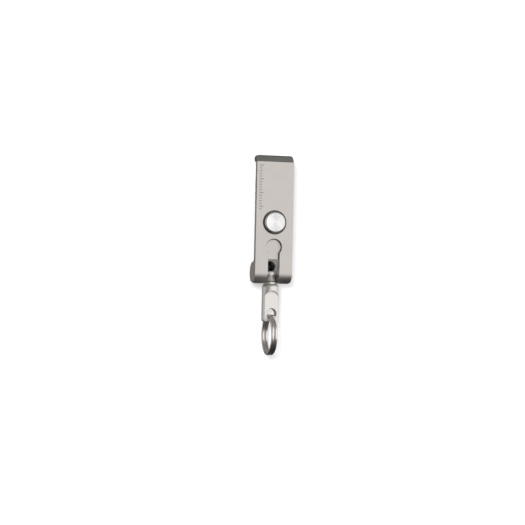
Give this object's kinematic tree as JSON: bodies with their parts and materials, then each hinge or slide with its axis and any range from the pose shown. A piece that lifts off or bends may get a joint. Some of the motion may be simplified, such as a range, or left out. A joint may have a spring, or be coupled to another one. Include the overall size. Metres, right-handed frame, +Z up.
{
  "type": "quick-release key clip",
  "caption": "Flat metal belt clip with a push button, a keyhole lock with its tongue, and a swivel stud that carries a split ring for keys.",
  "frame": {"origin": "under the crown of the clip's bend, in the middle of the belt gap", "axes": "+Z up, -Y out of the front face, +X to the right seen from the front; the stud and the ring hang down"},
  "size_m": [0.014, 0.0149, 0.0733],
  "materials": {
    "blasted_titanium": "bead-blasted titanium, fine matt grain",
    "shaded_titanium": "bead-blasted titanium, darker band over the top edge",
    "turned_titanium": "turned titanium, satin",
    "turned_steel": "polished and face-turned, fine rings",
    "bright_steel": "bright machined steel",
    "spring_steel": "blued spring steel, dark",
    "ring_steel": "nickel-plated spring wire",
    "black_ceramic": "polished black ceramic",
    "black_polymer": "filled bearing polymer",
    "bronze": "plain bearing bronze"
  },
  "bodies": {
    "clip": {"front_plate": "blasted_titanium", "top_bar": "shaded_titanium", "bar_screws": "bright_steel"},
    "leg": {"clip_leg": "blasted_titanium", "clip_ball": "black_ceramic"},
    "latch": {"latch_leaf": "spring_steel", "latch_tongue": "blasted_titanium", "tongue_rivets": "spring_steel", "button_cap": "turned_steel", "button_screw": "bright_steel"},
    "stud": {"swivel_post": "turned_titanium", "cross_pin": "bright_steel"},
    "barrel": {"swivel_barrel": "blasted_titanium", "thrust_washer": "black_polymer", "swivel_bush": "bronze", "snap_ring": "spring_steel"},
    "ring": {"split_ring": "ring_steel"}
  },
  "joints": [
    {"name": "leg_flex", "type": "hinge", "parent": "clip", "child": "leg", "pos_m": [0, -0.00045, 0.0013], "axis": [1, 0, 0], "range_deg": [0, 6], "stiffness_Nm_per_rad": 3.8, "springref_deg": -1.15},
    {"name": "latch_press", "type": "hinge", "parent": "clip", "child": "latch", "pos_m": [0, -0.00265, -0.0042], "axis": [1, 0, 0], "range_deg": [0, 3], "stiffness_Nm_per_rad": 1.2, "springref_deg": -1.15},
    {"name": "stud_swing", "type": "hinge", "parent": "clip", "child": "stud", "pos_m": [0, -0.00095, -0.0418], "axis": [-1, 0, 0], "range_deg": [-3, 90]},
    {"name": "swivel_spin", "type": "hinge", "parent": "stud", "child": "barrel", "pos_m": [0, -0.00095, -0.0507], "axis": [0, 0, 1], "continuous": true},
    {"name": "ring_swing", "type": "hinge", "parent": "barrel", "child": "ring", "pos_m": [0, -0.00095, -0.0567], "axis": [0, 1, 0], "range_deg": [-130, 130]}
  ]
}
